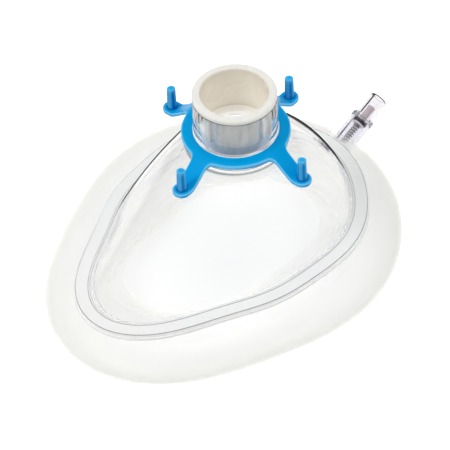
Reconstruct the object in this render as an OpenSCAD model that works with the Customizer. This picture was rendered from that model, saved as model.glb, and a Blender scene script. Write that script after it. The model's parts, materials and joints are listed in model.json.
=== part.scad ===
// Air-cushion face mask with a 22 mm breathing connector and a four-peg harness ring.
// Millimetres, +Z up. Origin: connector axis at the plane the face cushion rests on.
// -Y is the nose (narrow) end, +Y is the chin end with the inflation valve.

/* [Face cushion] */
// Length of the cushion over its outer edge, nose to chin
cushion_len = 134; // [124:1:144]
// Width of the cushion over its outer edge
cushion_w = 109.6; // [104:0.2:116]
// Height of the cushion between face side and flange
cushion_h = 15.8; // [14:0.1:18]
// Length of the opening inside the cushion
opening_len = 76.9; // [68:0.1:82]
// Width of the opening inside the cushion
opening_w = 45.9; // [40:0.1:50]
// Number of stations round every oval outline
outline_n = 72; // [48:12:84]

/* [Dome and flange] */
// Length of the flange over its outer edge
flange_len = 116.8; // [111:0.1:117]
// Width of the flange over its outer edge
flange_w = 80.9; // [78:0.1:84]
// Thickness of the flange
flange_t = 2.2; // [1.8:0.1:3]
// Width of the flange outside the dome wall
flange_band = 5; // [3.5:0.1:5.5]
// Thickness of the dome wall
wall_t = 1.7; // [1.4:0.1:2.2]
// Height of the dome's top edge above the rest plane
dome_top = 50.5; // [49:0.1:51]
// Radius of the dome's top edge
dome_top_r = 16.7; // [16.2:0.1:16.9]

/* [Neck and connector] */
// Outside radius of the neck tube
neck_r = 14.05; // [13.9:0.05:14.2]
// Inside radius of the neck tube
neck_bore_r = 12.6; // [12.5:0.05:12.7]
// Radius of the 22 mm connector socket
socket_r = 11.2; // [11.15:0.01:11.3]
// Radius of the hole in the ledge at the bottom of the socket
ledge_r = 8.2; // [7:0.1:9.5]
// Height of the connector's rim above the rest plane
rim_top = 71.5; // [70:0.1:73]
// Number of pads round the outside of the connector bush, parted by as many grooves
pads = 5; // [4:1:8]

/* [Harness ring] */
// Outside radius of the flat disc
disc_r = 18.1; // [17.6:0.1:19]
// Thickness of the disc
disc_t = 1.6; // [1.2:0.1:1.7]
// Radial running gap between disc and neck
disc_gap = 0.08; // [0.04:0.01:0.1]
// Radius of the circle the pegs stand on
peg_circle_r = 27.9; // [27:0.1:29]
// Radius of a peg
peg_r = 1.45; // [1.3:0.05:1.6]
// Length of a peg above its arm
peg_len = 8.4; // [6:0.1:10]
// How far the pegs' feet sit below the top of the disc
arm_drop = 6.4; // [5.5:0.1:6.8]
// Width of an arm
arm_w = 6.2; // [5.6:0.1:7]
// Thickness of an arm
arm_t = 1.5; // [1.2:0.1:1.7]
// Angle the ring is turned to at rest
ring_turn = 2.8; // [0:0.1:90]

/* [Inflation valve] */
// Distance from the connector axis to the valve's inner end
valve_y = 50; // [49:0.1:51]
// Height of the valve's inner end above the rest plane
valve_z = 8.6; // [8.2:0.1:9]
// Angle of the valve above horizontal
valve_up = 21; // [18:1:24]
// Overall length of the valve
valve_len = 23.9; // [22:0.1:26]
// Outside radius of the valve body
body_r = 3.8; // [3.6:0.05:4]
// Outside radius of the luer tube
luer_r = 3.15; // [3:0.05:3.3]
// Radius of the luer mouth
luer_bore_r = 2.15; // [2.1:0.01:2.2]
// Depth of the luer mouth
luer_depth = 3.6; // [3.2:0.1:4]
// Radius of the sealing disc
seal_r = 2.5; // [2.3:0.05:2.6]
// Number of turns in the return spring
spring_turns = 10; // [7:1:11]

/* [Hidden] */
$fn = 96;

// ---- heights shared by the dome, neck, bush and harness ring ----
socket_depth = 16;
shoulder_gap = 0.06;                  // play below and above the disc
flange_z = cushion_h;                 // underside of the flange, on the cushion's top land
flange_top = flange_z + flange_t;
ledge_top = rim_top - socket_depth;   // floor of the socket
disc_top = ledge_top;                 // top face of the harness disc
disc_z = disc_top - disc_t;
shoulder_z = disc_z - shoulder_gap;   // shoulder that carries the disc
neck_top = rim_top - 1.85;
stop_z = ledge_top - 1.6;             // internal stop under the bush

// ---- oval outlines ----
// radius(a) = mean_r (1 + sum of terms[k] cos(k a)) for k = 2 to 6, with a = 0 at the nose
harmonics = [2, 3, 4, 5, 6];

// [centre y, mean radius, terms]; egg is the third term, square the fourth
function oval(length, width, centre_y, egg, square = 0, fifth = 0, sixth = 0) =
    let (mean_r = (length + width) / 4 / (1 + square),
         stretch = (length - width) / 4 / mean_r - sixth)
    [centre_y, mean_r, [stretch, egg, square, fifth, sixth]];

function centre_y(o) = o[0];
function mean_r(o) = o[1];
function terms(o) = o[2];
function oval_r(a, o) = mean_r(o) * (1 + terms(o) * [for (k = harmonics) cos(k * a)]);
function oval_slope(a, o) = -mean_r(o) * (terms(o) * [for (k = harmonics) k * sin(k * a)]);

// point of outline o at angle a, moved outwards by grow along the outline's normal
function oval_pt(a, o, grow) =
    let (r = oval_r(a, o), slope = oval_slope(a, o), size = norm([r, slope]),
         normal_x = (r * sin(a) - slope * cos(a)) / size,
         normal_y = -(slope * sin(a) + r * cos(a)) / size)
    [r * sin(a) + grow * normal_x, centre_y(o) - r * cos(a) + grow * normal_y];

stations = [for (i = [0 : outline_n - 1]) i * 360 / outline_n];
function oval_poly(o, grow) = [for (a = stations) oval_pt(a, o, grow)];
function oval_ring(o, grow, z) = [for (p = oval_poly(o, grow)) [p[0], p[1], z]];
function round_ring(r, z) = [for (a = stations) [r * sin(a), -r * cos(a), z]];

cushion_oval = oval(cushion_len, cushion_w, centre_y = -8.5, egg = 0.045, square = 0.018);
opening_oval = oval(opening_len, opening_w, centre_y = -9.3, egg = 0.003);
flange_oval = oval(flange_len, flange_w, centre_y = -8.03, egg = 0.0593, square = 0.0374,
    fifth = 0.019, sixth = 0.0163);

// ---- helpers for meshes and profiles ----
// two triangles of a quad given by its corners' point numbers
function quad(a, b, c, d) = [[a, c, b], [a, d, c]];

// faces of a closed band of m rings, each of n points, wrapped both ways
function wrap_faces(m, n) = [for (j = [0 : m - 1]) for (i = [0 : n - 1])
    let (here = j * n, above = ((j + 1) % m) * n, next = (i + 1) % n)
    each quad(here + i, here + next, above + next, above + i)];

function reversed(list) = [for (i = [len(list) - 1 : -1 : 0]) list[i]];
// outline that runs along one edge and back along the other
function strip(edge, return_edge) = concat(edge, reversed(return_edge));

// ---- dome ----
dome_levels = 9;
dome_foot_z = flange_z + 0.25;        // the wall's foot, sunk into the flange
dome_bore_r = neck_bore_r + 0.2;

// exponents of the wall's curve at angle a: how it spreads outwards and how it falls
function spread_power(a) = 1.585 + 0.03 * cos(a) - 0.027 * cos(2 * a);
function fall_power(a) = 1.985 - 0.127 * cos(2 * a) + 0.235 * cos(3 * a);

// t runs from 0 (top edge) to 90 (foot); inset is the distance inside the outer surface
function dome_pt(a, t, inset) =
    let (foot = oval_pt(a, flange_oval, -flange_band - inset),
         top_r = dome_top_r - 0.6 * inset,
         top_z = dome_top - 0.9 * inset,
         foot_z = flange_top - 0.15,
         spread = pow(sin(t), spread_power(a)),
         fall = 1 - pow(cos(t), fall_power(a)))
    [top_r * sin(a) * (1 - spread) + foot[0] * spread,
     -top_r * cos(a) * (1 - spread) + foot[1] * spread,
     top_z - (top_z - foot_z) * fall];
function dome_ring(t, inset) = [for (a = stations) dome_pt(a, t, inset)];

// rings run up the outside, over the top edge and down the inside
module dome_wall() {
    levels = [for (k = [0 : dome_levels]) k * 90 / dome_levels];
    points = concat(
        oval_ring(flange_oval, -flange_band, dome_foot_z),
        [for (t = reversed(levels)) each dome_ring(t, 0)],
        round_ring(dome_bore_r, dome_top),
        round_ring(dome_bore_r, dome_top - 1.2),
        [for (t = levels) each dome_ring(t, wall_t)],
        oval_ring(flange_oval, -flange_band - wall_t, dome_foot_z));
    polyhedron(points = points, faces = wrap_faces(2 * len(levels) + 4, outline_n),
        convexity = 8);
}

// neck with the shoulder under the disc, a retaining bead above it and the bush's stop
module neck() {
    root_r = dome_top_r - 0.6;
    root_bore_r = neck_bore_r + 0.4;
    shoulder_r = 15.5;
    bead_r = neck_r + 0.3;
    stop_r = 10.9;
    rotate_extrude() polygon([
        [root_bore_r, dome_top - 0.5], [root_r, dome_top - 0.5],
        [root_r, dome_top + 0.6], [shoulder_r, shoulder_z], [neck_r, shoulder_z],
        [neck_r, disc_top + shoulder_gap], [bead_r, disc_top + 0.3],
        [bead_r, disc_top + 0.6], [neck_r, disc_top + 0.9],
        [neck_r, neck_top], [neck_bore_r, neck_top],
        [neck_bore_r, stop_z], [stop_r, stop_z],
        [stop_r, stop_z - 1.2], [neck_bore_r, stop_z - 1.9],
        [neck_bore_r, dome_top + 0.8], [root_bore_r, dome_top + 0.8]]);
}

// flat flange with a thin lip round its lower edge
module flange() {
    lip_w = 0.5;
    lip_t = 0.9;
    translate([0, 0, flange_z]) difference() {
        union() {
            linear_extrude(flange_t) polygon(oval_poly(flange_oval, 0));
            linear_extrude(lip_t) polygon(oval_poly(flange_oval, lip_w));
        }
        translate([0, 0, -1]) linear_extrude(flange_t + 2)
            polygon(oval_poly(flange_oval, -flange_band - wall_t - 0.2));
    }
}

module dome_shell() color([0.86, 0.9, 0.93, 0.35]) union() {
    dome_wall();
    neck();
    flange();
}

// ---- connector bush: rim, 22 mm socket, ledge and outside pads ----
bush_r = neck_bore_r - 0.02;          // fits inside the neck
bush_foot_r = 12.1;
rim_r = 14;
groove_w = 1.2;
groove_z = disc_top + 5;
groove_turn = -9;                     // angle of the first groove

module connector_bush() color([0.93, 0.91, 0.86]) difference() {
    rotate_extrude() polygon([
        [ledge_r, stop_z + 0.1], [bush_foot_r, stop_z + 0.1],
        [bush_foot_r, disc_top + 5.8], [bush_r, disc_top + 6.2],
        [bush_r, neck_top + 0.05], [rim_r, neck_top + 0.05],
        [rim_r, rim_top - 0.5], [rim_r - 0.5, rim_top],
        [socket_r + 0.5, rim_top], [socket_r, rim_top - 0.6],
        [socket_r, ledge_top], [ledge_r, ledge_top]]);
    for (k = [0 : pads - 1]) rotate(k * 360 / pads + groove_turn)
        translate([neck_bore_r - 0.5, -groove_w / 2, groove_z])
            cube([1, groove_w, neck_top - 0.8 - groove_z]);
}

// ---- harness ring: disc, four drooping arms, four pegs ----
peg_foot = disc_top - arm_drop;
arm_end_r = peg_circle_r + arm_w / 2;
fillet_end_r = 21;                    // the arm's root fillets end here
fall_start_r = 17.3;                  // the arm's top face falls between these radii
fall_end_r = 26;

// half width of an arm at radius r: wide root fillets, straight middle, round end
function arm_half_w(r) = r > peg_circle_r
    ? sqrt(max(0, pow(arm_w / 2, 2) - pow(r - peg_circle_r, 2)))
    : arm_w / 2 + (r < fillet_end_r ? 2.6 * pow((fillet_end_r - r) / 4.5, 2.2) : 0);

// height of an arm's top face at radius r: smooth fall from the disc to the peg's foot
function arm_z(r) =
    let (u = min(1, max(0, (r - fall_start_r) / (fall_end_r - fall_start_r))))
    disc_top - arm_drop * (0.35 * u + 0.65 * (u * u * (3 - 2 * u)));

// radii of the stations along the plan outline and along the side profile
plan_radii = concat(
    [for (i = [0 : 9]) 16.2 + i * 0.5],
    [peg_circle_r],
    [for (i = [1 : 8]) peg_circle_r + arm_w / 2 * sin(i * 11)]);
side_start_r = 16;
side_steps = 14;
side_radii = [for (i = [0 : side_steps])
    side_start_r + i * (arm_end_r + 0.5 - side_start_r) / side_steps];

// plan outline crossed with side profile
module arm() intersection() {
    translate([0, 0, peg_foot - 4]) linear_extrude(arm_drop + 6) polygon(strip(
        [for (r = plan_radii) [r, -arm_half_w(r)]],
        [for (r = plan_radii) [r, arm_half_w(r)]]));
    translate([0, 10, 0]) rotate([90, 0, 0]) linear_extrude(20) polygon(strip(
        [for (r = side_radii) [r, arm_z(r)]],
        [for (r = side_radii) [r, arm_z(r) - arm_t]]));
}

// shaft through the arm, flared foot and chamfered tip
module peg() translate([peg_circle_r, 0, peg_foot]) {
    tip_h = 0.3;
    translate([0, 0, -arm_t + 0.2]) cylinder(r = peg_r, h = peg_len + arm_t - 0.5);
    translate([0, 0, -0.3]) cylinder(r1 = peg_r + 0.5, r2 = peg_r, h = 0.9);
    translate([0, 0, peg_len - tip_h]) cylinder(r1 = peg_r, r2 = peg_r - 0.3, h = tip_h);
}

module disc() {
    inner_r = neck_r - 1;             // inside the bore that is cut afterwards
    chamfer = 0.3;
    rotate_extrude() polygon([
        [inner_r, disc_z], [disc_r - chamfer, disc_z], [disc_r, disc_z + chamfer],
        [disc_r, disc_top - chamfer], [disc_r - chamfer, disc_top], [inner_r, disc_top]]);
}

module hook_ring() color([0, 0.55, 0.85]) rotate(ring_turn) difference() {
    union() {
        disc();
        for (k = [0 : 3]) rotate(k * 90) {
            arm();
            peg();
        }
    }
    translate([0, 0, disc_z - 10]) cylinder(r = neck_r + disc_gap, h = 30);
}

// ---- valve frame: local z = 0 is the inner end, +Z runs out along the valve ----
module on_valve() translate([0, valve_y, valve_z]) rotate([valve_up - 90, 0, 0]) children();

collar_z = valve_len - 9.7;           // plane where body and luer port meet
collar_r = body_r + 0.35;
chamber_r = 2.75;                     // bore of the valve body
chamber_z = 2.2;                      // floor of the chamber
luer_floor_z = valve_len - luer_depth;
plate_z = collar_z - 2.6;             // underside of the stem's spring plate
neck_lo_z = plate_z + 0.6;            // the stem's narrow neck, which carries the seal
neck_hi_z = plate_z + 1.9;
stem_neck_r = 0.8;

// ---- cushion: oval tube with a flat land under the flange, a flat face side and a valve port ----
cushion_n = 20;                       // points round the tube's section

// sine or cosine value bent towards a slightly squarer section
function bent(v) = sign(v) * pow(abs(v), 0.92);

// t goes round the section: 0 at the outer edge, 90 on top, 180 at the opening
function cushion_pt(a, t) =
    let (outer = oval_pt(a, cushion_oval, 0),
         inner = oval_pt(a, opening_oval, 0),
         u = (1 - bent(cos(t))) / 2,
         z = cushion_h / 2 + (cushion_h / 2 + 0.5) * bent(sin(t)))
    [outer[0] * (1 - u) + inner[0] * u,
     outer[1] * (1 - u) + inner[1] * u,
     min(cushion_h, max(0, z))];

module cushion() color([0.94, 0.94, 0.92]) difference() {
    union() {
        polyhedron(
            points = [for (j = [0 : cushion_n - 1]) for (a = stations)
                cushion_pt(a, j * 360 / cushion_n)],
            faces = wrap_faces(cushion_n, outline_n), convexity = 6);
        on_valve() translate([0, 0, 1]) cylinder(r = body_r + 0.8, h = 5.9);
    }
    on_valve() {
        translate([0, 0, -0.05]) cylinder(r = body_r + 0.01, h = 20);
        translate([0, 0, -2.6]) cylinder(r = chamber_r, h = 4);
    }
}

// ---- inflation valve ----
valve_clear = [0.88, 0.87, 0.95, 0.5];

// cup with a collar at its mouth; the floor has a stem hole and four small holes
module valve_body() color(valve_clear) on_valve() difference() {
    union() {
        cylinder(r = body_r, h = collar_z);
        translate([0, 0, collar_z - 0.8]) cylinder(r = collar_r, h = 0.8);
    }
    translate([0, 0, chamber_z]) cylinder(r = chamber_r, h = valve_len);
    translate([0, 0, -1]) cylinder(r = 0.72, h = 5);
    for (k = [0 : 3]) rotate(45 + k * 90) translate([2, 0, -1]) cylinder(r = 0.45, h = 5);
}

// spigot inside the body, collar, then the luer tube
module valve_luer_port() color(valve_clear) on_valve() {
    spigot_r = 2.7;
    bore_r = 1.75;
    rotate_extrude() polygon([
        [bore_r, collar_z - 0.65], [spigot_r, collar_z - 0.65],
        [spigot_r, collar_z + 0.02], [collar_r, collar_z + 0.02],
        [collar_r, collar_z + 0.9], [body_r + 0.05, collar_z + 1.2],
        [luer_r, collar_z + 1.2], [luer_r, valve_len - 0.2],
        [luer_r - 0.2, valve_len], [luer_bore_r, valve_len],
        [luer_bore_r, luer_floor_z], [bore_r, luer_floor_z]]);
}

module valve_stem() color([0.62, 0.5, 0.52]) on_valve() {
    rod_r = 0.65;
    plate_r = 2.2;
    head_r = 1.3;
    rotate_extrude() polygon([
        [0, 0.4], [rod_r, 0.4], [rod_r, plate_z],
        [plate_r, plate_z], [plate_r, neck_lo_z],
        [stem_neck_r, neck_lo_z], [stem_neck_r, neck_hi_z],
        [head_r, neck_hi_z], [head_r, luer_floor_z - 0.7],
        [head_r - 0.2, luer_floor_z - 0.5], [0, luer_floor_z - 0.5]]);
}

module valve_seal() color([0.08, 0.08, 0.09]) on_valve() {
    hole_r = stem_neck_r + 0.01;
    bottom = neck_lo_z + 0.02;
    top = neck_hi_z - 0.02;
    rotate_extrude() polygon([
        [hole_r, bottom], [seal_r - 0.15, bottom], [seal_r, neck_lo_z + 0.2],
        [seal_r, neck_hi_z - 0.3], [seal_r - 0.2, top], [hole_r, top]]);
}

// return spring: round wire on a helix, closed by flat end caps
module valve_spring() color([0.55, 0.52, 0.48]) on_valve() {
    wire_r = 0.18;
    coil_r = 1.1;
    bottom = chamber_z + 0.22;
    top = plate_z - 0.24;
    turn_n = 16;                      // steps in a turn
    wire_n = 8;                       // points round the wire
    n = spring_turns * turn_n;
    points = [for (i = [0 : n]) for (j = [0 : wire_n - 1])
        let (turn = i * 360 / turn_n,
             b = j * 360 / wire_n,
             r = coil_r + wire_r * cos(b),
             z = bottom + (top - bottom) * i / n + wire_r * sin(b))
        [r * cos(turn), r * sin(turn), z]];
    sides = [for (i = [0 : n - 1]) for (j = [0 : wire_n - 1])
        let (p = i * wire_n + j, next = i * wire_n + (j + 1) % wire_n)
        each quad(p, p + wire_n, next + wire_n, next)];
    start_cap = [for (j = [wire_n - 1 : -1 : 0]) j];
    end_cap = [for (j = [0 : wire_n - 1]) n * wire_n + j];
    polyhedron(points = points, faces = concat([start_cap, end_cap], sides), convexity = 12);
}

dome_shell();
connector_bush();
hook_ring();
cushion();
valve_body();
valve_luer_port();
valve_stem();
valve_seal();
valve_spring();
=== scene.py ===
"""Air-cushion face mask: a clear dome on a milky cushion, with a connector socket on top, a blue
harness ring with four pegs, and an inflation valve set into the cushion.

The mask lies cushion down on z = 0, its nose end towards -Y and its chin end towards +Y. The
connector points up, its axis on the Z axis. Lengths are in millimetres and become metres as meshes
are made; lamps, floor and material distances are in metres.
"""
import json
import math
from collections import namedtuple

import bmesh
import bpy
import numpy as np
from mathutils import Matrix, Vector


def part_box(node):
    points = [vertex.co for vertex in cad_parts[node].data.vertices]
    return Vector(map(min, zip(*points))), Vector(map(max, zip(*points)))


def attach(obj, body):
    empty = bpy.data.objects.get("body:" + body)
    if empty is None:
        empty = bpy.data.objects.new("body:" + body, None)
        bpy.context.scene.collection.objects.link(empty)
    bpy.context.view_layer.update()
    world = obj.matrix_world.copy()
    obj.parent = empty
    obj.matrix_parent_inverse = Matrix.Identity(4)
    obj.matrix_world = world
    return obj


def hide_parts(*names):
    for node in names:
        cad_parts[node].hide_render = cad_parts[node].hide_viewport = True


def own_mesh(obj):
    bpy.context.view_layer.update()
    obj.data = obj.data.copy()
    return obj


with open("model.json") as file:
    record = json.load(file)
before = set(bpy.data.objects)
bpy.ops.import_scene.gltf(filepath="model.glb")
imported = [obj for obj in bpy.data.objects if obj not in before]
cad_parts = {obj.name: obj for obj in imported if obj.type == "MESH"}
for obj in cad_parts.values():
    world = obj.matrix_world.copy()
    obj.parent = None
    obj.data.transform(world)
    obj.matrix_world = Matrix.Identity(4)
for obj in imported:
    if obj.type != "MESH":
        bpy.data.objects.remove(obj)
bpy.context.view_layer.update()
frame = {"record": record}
scene = bpy.context.scene
MM = 0.001
PI = math.pi


# ------------------------------------------------------------------ sizes, read from the frame
def box_mm(piece):
    lo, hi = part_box(piece)
    return np.array(lo) / MM, np.array(hi) / MM


mounts = {mount["name"]: mount for mount in frame["record"]["mounts"]}
dome_lo, dome_hi = box_mm("dome_shell")

# flange and dome
FLANGE_B = dome_lo[2]                   # underside of the flange
FLANGE_T = FLANGE_B + 2.2
BAND = 5.0                              # flange width outside the dome wall
WALL = 1.7
LIP = 0.5                               # how far the flange's lip stands out
DOME_TOP, DOME_TOP_R = 50.5, 16.7

# connector, harness disc and neck
RIM_TOP = box_mm("connector_bush")[1][2]
DISC_TOP = RIM_TOP - 16.0
DISC_T = 1.6
SHOULDER_Z = DISC_TOP - DISC_T - 0.06   # the disc rests here with a small gap
NECK_TOP = RIM_TOP - 1.85
NECK_R, NECK_BORE = 14.05, 12.6
STOP_Z = DISC_TOP - 1.6                 # step in the neck that carries the socket
SOCKET_R = mounts["socket_22f"]["dims"]["r_mm"]
LEDGE_R = 8.2

# harness ring
DISC_R = 18.1
PEG_CIRCLE = mounts["harness_pegs"]["dims"]["pcd_mm"] / 2
PEG_R = mounts["harness_pegs"]["dims"]["stud_r_mm"]
PEG_LEN = 8.4
ARM_DROP, ARM_W, ARM_T = 6.4, 6.2, 1.5
PEG_FOOT = DISC_TOP - ARM_DROP
PEG_TOP = PEG_FOOT + PEG_LEN
RING_TURN = math.radians(2.8)

# inflation valve, along its own axis from its base
VALVE_LEN = 23.9
VALVE_AXIS = np.array(mounts["luer_port"]["axis"], float)
VALVE_AXIS /= np.linalg.norm(VALVE_AXIS)
VALVE_MOUTH = np.array(mounts["luer_port"]["pos_m"], float) / MM + VALVE_AXIS * 1.8
VALVE_BASE = VALVE_MOUTH - VALVE_AXIS * VALVE_LEN
HOUSING_FLOOR = 2.2                     # inner floor of the housing
COLLAR = VALVE_LEN - 9.7                # joint between housing and luer
PLATE = COLLAR - 2.6                    # underside of the stem's plate
HOUSING_R, LUER_R = 3.8, 3.15
HOUSING_BORE, LUER_BORE = 2.75, 2.0

# nominal direction of view that the painted streaks and sheens are laid out for, in degrees
VIEW_TURN, VIEW_TILT = 44.4, 45.3

# fifth and sixth are the weights of the higher harmonics
Oval = namedtuple("Oval", "length width egg square centre_y fifth sixth", defaults=(0.0, 0.0))
CUSHION = Oval(134.0, 109.6, 0.045, 0.018, -8.5)
OPENING = Oval(76.9, 45.9, 0.003, 0.0, -9.3)
FLANGE = Oval((dome_hi[1] - dome_lo[1]) - 2 * LIP, 80.9, 0.0593, 0.0374, -8.03, 0.019, 0.0163)


# ------------------------------------------------------------------ curves
def turn(n):
    return np.arange(n) * 2 * PI / n


def oval_terms(shape):
    """Mean radius, and the (order, weight) of each cosine that shapes the oval."""
    mean = (shape.length + shape.width) / 4 / (1 + shape.square)
    second = (shape.length - shape.width) / 4 / mean - shape.sixth
    return mean, ((2, second), (3, shape.egg), (4, shape.square),
                  (5, shape.fifth), (6, shape.sixth))


def oval_radius(shape, angle):
    mean, terms = oval_terms(shape)
    return mean * (1 + sum(e * np.cos(k * angle) for k, e in terms))


def oval(shape, n, offset=0.0):
    """n points of an oval, moved outwards by offset along its normal; the first is at -Y."""
    angle = turn(n)
    mean, terms = oval_terms(shape)
    r = oval_radius(shape, angle)
    slope = -mean * sum(k * e * np.sin(k * angle) for k, e in terms)
    length = np.hypot(r, slope)
    sin, cos = np.sin(angle), np.cos(angle)
    normal_x = (r * sin - slope * cos) / length
    normal_y = -(slope * sin + r * cos) / length
    return np.stack([r * sin + offset * normal_x,
                     shape.centre_y - r * cos + offset * normal_y], 1)


def circle(r, n):
    angle = turn(n)
    return np.stack([r * np.sin(angle), -r * np.cos(angle)], 1)


def lift(xy, z):
    """Adds a height, one for all points or one each."""
    return np.column_stack([xy, np.broadcast_to(z, len(xy))])


def bezier(p0, p1, p2, u):
    return (1 - u) ** 2 * p0 + 2 * u * (1 - u) * p1 + u * u * p2


def rounded(points, segments):
    """2D polyline of (x, y, radius): every inner corner with a radius becomes an arc."""
    out = []
    for i, (x, y, radius) in enumerate(points):
        corner = np.array([x, y], float)
        if radius <= 0 or i == 0 or i == len(points) - 1:
            out.append(corner)
            continue
        back = np.array(points[i - 1][:2], float) - corner
        ahead = np.array(points[i + 1][:2], float) - corner
        back_len, ahead_len = np.linalg.norm(back), np.linalg.norm(ahead)
        back, ahead = back / back_len, ahead / ahead_len
        half = math.acos(max(-1, min(1, float(back @ ahead)))) / 2
        cut = min(radius / math.tan(half), back_len * 0.49, ahead_len * 0.49)
        start, end = corner + back * cut, corner + ahead * cut
        weight = math.sin(half)         # makes the conic an arc for equal legs
        for k in range(segments + 1):
            u = k / segments
            q0, q1, q2 = (1 - u) ** 2, 2 * u * (1 - u) * weight, u * u
            out.append((start * q0 + corner * q1 + end * q2) / (q0 + q1 + q2))
    return out


def closed_profile(points, segments):
    """The same for a closed outline; the first corner stays sharp."""
    return rounded([*points, points[0]], segments)[:-1]


def smooth01(x, a, b):
    t = np.clip((x - a) / (b - a), 0, 1)
    return t * t * (3 - 2 * t)


# ------------------------------------------------------------------ mesh builders
def raw_mesh(name, verts, faces):
    mesh = bpy.data.meshes.new(name)
    mesh.from_pydata([tuple(float(c) * MM for c in v) for v in verts], [], faces)
    return mesh


def shade(ob, sharp_angle):
    """Smooth shading; edges steeper than sharp_angle in degrees stay sharp."""
    for face in ob.data.polygons:
        face.use_smooth = True
    if sharp_angle:
        ob.data.set_sharp_from_angle(angle=math.radians(sharp_angle))


def make(name, verts, faces, body, cad_piece, sharp_angle):
    """A piece that rides on a body and replaces a CAD piece."""
    mesh = raw_mesh(name, verts, faces)
    mesh.validate()
    bm = bmesh.new()
    bm.from_mesh(mesh)
    bmesh.ops.remove_doubles(bm, verts=bm.verts, dist=1e-7)
    bmesh.ops.recalc_face_normals(bm, faces=bm.faces)
    if bm.calc_volume(signed=True) < 0:
        bmesh.ops.reverse_faces(bm, faces=bm.faces)
    bm.to_mesh(mesh)
    bm.free()
    ob = bpy.data.objects.new(name, mesh)
    scene.collection.objects.link(ob)
    shade(ob, sharp_angle)
    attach(ob, body)
    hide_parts(cad_piece)
    return ob


def combine(ob, name, verts, faces, operation):
    """Joins a second solid to ob, or cuts it away, and bakes the result."""
    mesh = raw_mesh(name, verts, faces)
    bm = bmesh.new()
    bm.from_mesh(mesh)
    bmesh.ops.recalc_face_normals(bm, faces=bm.faces)
    bm.to_mesh(mesh)
    bm.free()
    tool = bpy.data.objects.new(name, mesh)
    scene.collection.objects.link(tool)
    bpy.context.view_layer.update()
    modifier = ob.modifiers.new("cut", "BOOLEAN")
    modifier.operation = operation
    modifier.solver = "EXACT"
    modifier.object = tool
    depsgraph = bpy.context.evaluated_depsgraph_get()
    baked = bpy.data.meshes.new_from_object(ob.evaluated_get(depsgraph))
    ob.modifiers.clear()
    old = ob.data
    ob.data = baked
    bpy.data.meshes.remove(old)
    bpy.data.objects.remove(tool)


def loops(rings, closed=True):
    """Quads between rings of equal length; closed joins the last ring to the first."""
    n, m = len(rings[0]), len(rings)
    faces = []
    for j in range(m if closed else m - 1):
        k = (j + 1) % m
        for i in range(n):
            i2 = (i + 1) % n
            faces.append((j * n + i, j * n + i2, k * n + i2, k * n + i))
    return np.concatenate(rings), faces


def lathe(profile, n, reshape=None):
    """Turns (r, z) points about Z.

    A profile that starts and ends at r = 0 is capped by fans; any other is a closed loop.
    reshape(radii, z, angles) may change a ring's radii.
    """
    profile = [np.asarray(p, float) for p in profile]
    poles = profile[0][0] < 1e-9 and profile[-1][0] < 1e-9
    angle = turn(n)
    rings = []
    for r, z in profile[1:-1] if poles else profile:
        radii = np.full(n, r)
        if reshape is not None:
            radii = reshape(radii, z, angle)
        rings.append(lift(np.stack([radii * np.cos(angle), radii * np.sin(angle)], 1), z))
    verts, faces = loops(rings, closed=not poles)
    if poles:
        first, last = len(verts), len(verts) + 1
        verts = np.concatenate([verts, [[0, 0, profile[0][1]], [0, 0, profile[-1][1]]]])
        start = (len(rings) - 1) * n
        for i in range(n):
            i2 = (i + 1) % n
            faces.append((first, i2, i))
            faces.append((last, start + i, start + i2))
    return verts, faces


def on_valve(points):
    """Local z runs out along the valve; local x is the frame's x."""
    points = np.asarray(points, float)
    x_axis = np.array([1.0, 0, 0])
    y_axis = np.cross(VALVE_AXIS, x_axis)
    return (VALVE_BASE + points[:, :1] * x_axis + points[:, 1:2] * y_axis
            + points[:, 2:3] * VALVE_AXIS)


def valve_cylindrical(places):
    """Height along the valve, the vector out from its axis, and that vector's length."""
    away = places - VALVE_BASE
    along = away @ VALVE_AXIS
    outward = away - along[..., None] * VALVE_AXIS
    return along, outward, np.linalg.norm(outward, axis=-1)


# ------------------------------------------------------------------ values painted on points
def places(ob):
    """Every vertex in millimetres."""
    co = np.empty(len(ob.data.vertices) * 3)
    ob.data.vertices.foreach_get("co", co)
    return co.reshape(-1, 3) / MM


def paint(ob, name, values):
    """Stores a value from 0 to 1 per vertex for the material to read."""
    attribute = ob.data.attributes.new(name, "FLOAT", "POINT")
    attribute.data.foreach_set("value", np.clip(values, 0, 1).astype(np.float32))


def place_key(point):
    return tuple(round(c, 3) for c in point)


def look_up(table, co, missing):
    return np.array([table.get(place_key(p), missing) for p in co], float)


# ------------------------------------------------------------------ dome: one clear moulding
DOME_N = 216                            # points round every ring


def flange_ring(offset, z):
    return lift(oval(FLANGE, DOME_N, offset), z)


def round_ring(r, z):
    return lift(circle(r, DOME_N), z)


def dome_ring(degrees, depth):
    """Ring of the wall: 0 degrees at the top edge, 90 at the foot; depth inside the surface."""
    phi = turn(DOME_N)
    foot = oval(FLANGE, DOME_N, -BAND - depth)
    top_r, top_z, foot_z = DOME_TOP_R - 0.6 * depth, DOME_TOP - depth * 0.9, FLANGE_T - 0.15
    # these powers vary round the dome and set how full each side is
    spread_power = 1.585 + 0.03 * np.cos(phi) - 0.027 * np.cos(2 * phi)
    drop_power = 1.985 - 0.127 * np.cos(2 * phi) + 0.235 * np.cos(3 * phi)
    t = math.radians(degrees)
    spread = np.power(math.sin(t), spread_power)[:, None]
    drop = 1 - np.power(max(0.0, math.cos(t)), drop_power)
    xy = circle(top_r, DOME_N) * (1 - spread) + foot * spread
    return lift(xy, top_z - (top_z - foot_z) * drop)


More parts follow.
